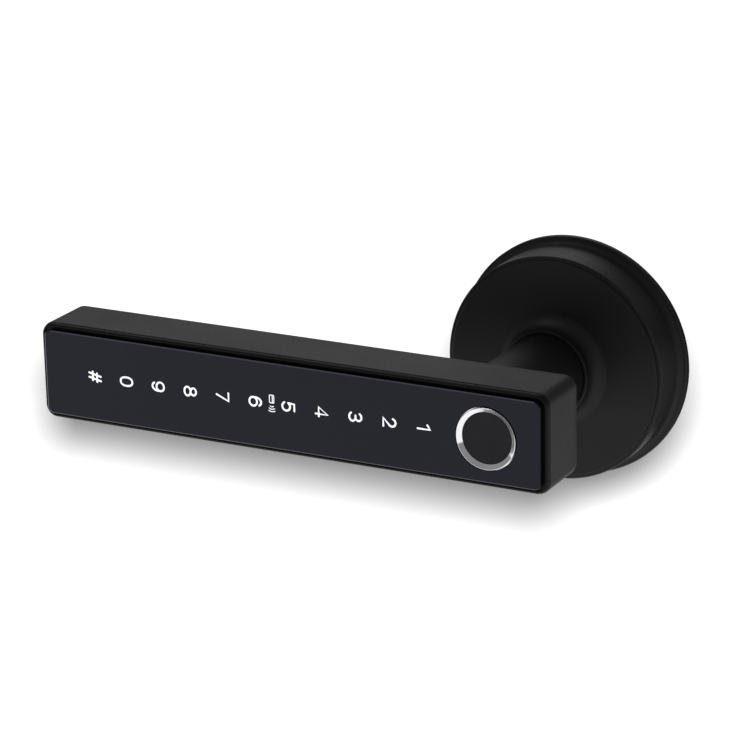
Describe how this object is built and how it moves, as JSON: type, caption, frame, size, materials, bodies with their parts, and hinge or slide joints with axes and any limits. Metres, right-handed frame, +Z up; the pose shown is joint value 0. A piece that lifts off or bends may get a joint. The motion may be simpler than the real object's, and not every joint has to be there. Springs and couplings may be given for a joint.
{
  "type": "keypad lever lock",
  "caption": "Outside half of a smart door lock: a bar lever with a glass touch keypad and a fingerprint sensor, on a round rose with a square spindle.",
  "frame": {"origin": "on the spindle's axis at the door's face, where the gasket rests", "axes": "+Y into the door along the spindle, -X towards the lever's free end, +Z up"},
  "size_m": [0.1583, 0.1188, 0.0666],
  "materials": {
    "black_paint": "matt black powder coat",
    "black_bezel": "satin black moulding",
    "black_glass": "gloss black, printed from behind",
    "adhesive_foam": "black foam tape",
    "gasket_foam": "closed-cell foam",
    "ring_chrome": "polished",
    "sensor_cover": "satin black coating",
    "bush_plastic": "black acetal",
    "black_plastic": "moulded",
    "clear_plastic": "clear moulding",
    "led_white": "white lamp packages",
    "connector_plastic": "cream moulding",
    "circuit_board": "green solder mask",
    "copper": "copper track",
    "chip_plastic": "epoxy",
    "ribbon_film": "amber film",
    "wire_rubber": "red insulation",
    "socket_steel": "plain",
    "black_screws": "black oxide",
    "zinc_steel": "zinc plated",
    "spring_steel": "oiled spring steel",
    "motor_steel": "bright can",
    "brass": "plain",
    "sintered_steel": "sintered",
    "spindle_steel": "zinc plated"
  },
  "bodies": {
    "rose": {"rose_cover": "black_paint", "neck_bush": "bush_plastic", "wave_washer": "spring_steel", "return_spring": "spring_steel", "stop_pins": "zinc_steel", "mounting_plate": "zinc_steel", "plate_screws": "zinc_steel", "fixing_posts": "zinc_steel", "spindle_bush": "bush_plastic", "door_gasket": "gasket_foam"},
    "lever": {"lever_shell": "black_paint", "front_bezel": "black_bezel", "touch_panel": "black_glass", "panel_adhesive": "adhesive_foam", "fingerprint_ring": "ring_chrome", "fingerprint_sensor": "sensor_cover", "sensor_board": "circuit_board", "light_frame": "black_plastic", "key_light_guides": "clear_plastic", "key_leds": "led_white", "touch_board": "circuit_board", "card_antenna": "copper", "control_board": "circuit_board", "board_chips": "chip_plastic", "board_connectors": "connector_plastic", "buzzer": "black_plastic", "board_screws": "zinc_steel", "panel_ribbon": "ribbon_film", "sensor_ribbon": "ribbon_film", "motor_wires": "wire_rubber", "power_socket": "socket_steel", "bezel_screws": "black_screws", "neck": "black_paint", "neck_screws": "zinc_steel", "return_cam": "zinc_steel", "neck_circlip": "spring_steel", "motor_holder": "bush_plastic", "clutch_motor": "motor_steel"},
    "motor_screw": {"clutch_screw": "brass"},
    "dog": {"clutch_dog": "sintered_steel"},
    "spindle": {"spindle_hub": "sintered_steel", "spindle": "spindle_steel", "spindle_pin": "spring_steel", "spindle_circlip": "spring_steel"}
  },
  "joints": [
    {"name": "lever_turn", "type": "hinge", "parent": "rose", "child": "lever", "pos_m": [0, 0, 0], "axis": [0, -1, 0], "range_deg": [0, 50], "stiffness_Nm_per_rad": 0.8, "springref_deg": -34.38, "deforming": ["return_spring"]},
    {"name": "spindle_turn", "type": "hinge", "parent": "rose", "child": "spindle", "pos_m": [0, 0, 0], "axis": [0, -1, 0], "range_deg": [0, 50]},
    {"name": "clutch_screw_turn", "type": "hinge", "parent": "lever", "child": "motor_screw", "pos_m": [0, -0.03, 0], "axis": [0, -1, 0], "range_deg": [0, 1801]},
    {"name": "clutch_slide", "type": "slide", "parent": "lever", "child": "dog", "axis": [0, -1, 0], "range_m": [0, 0.004]}
  ],
  "couplings": [
    {"joint": "spindle_turn", "follows": "lever_turn", "ratio": 1},
    {"joint": "clutch_screw_turn", "follows": "clutch_slide", "rad_per_m": 7854}
  ]
}
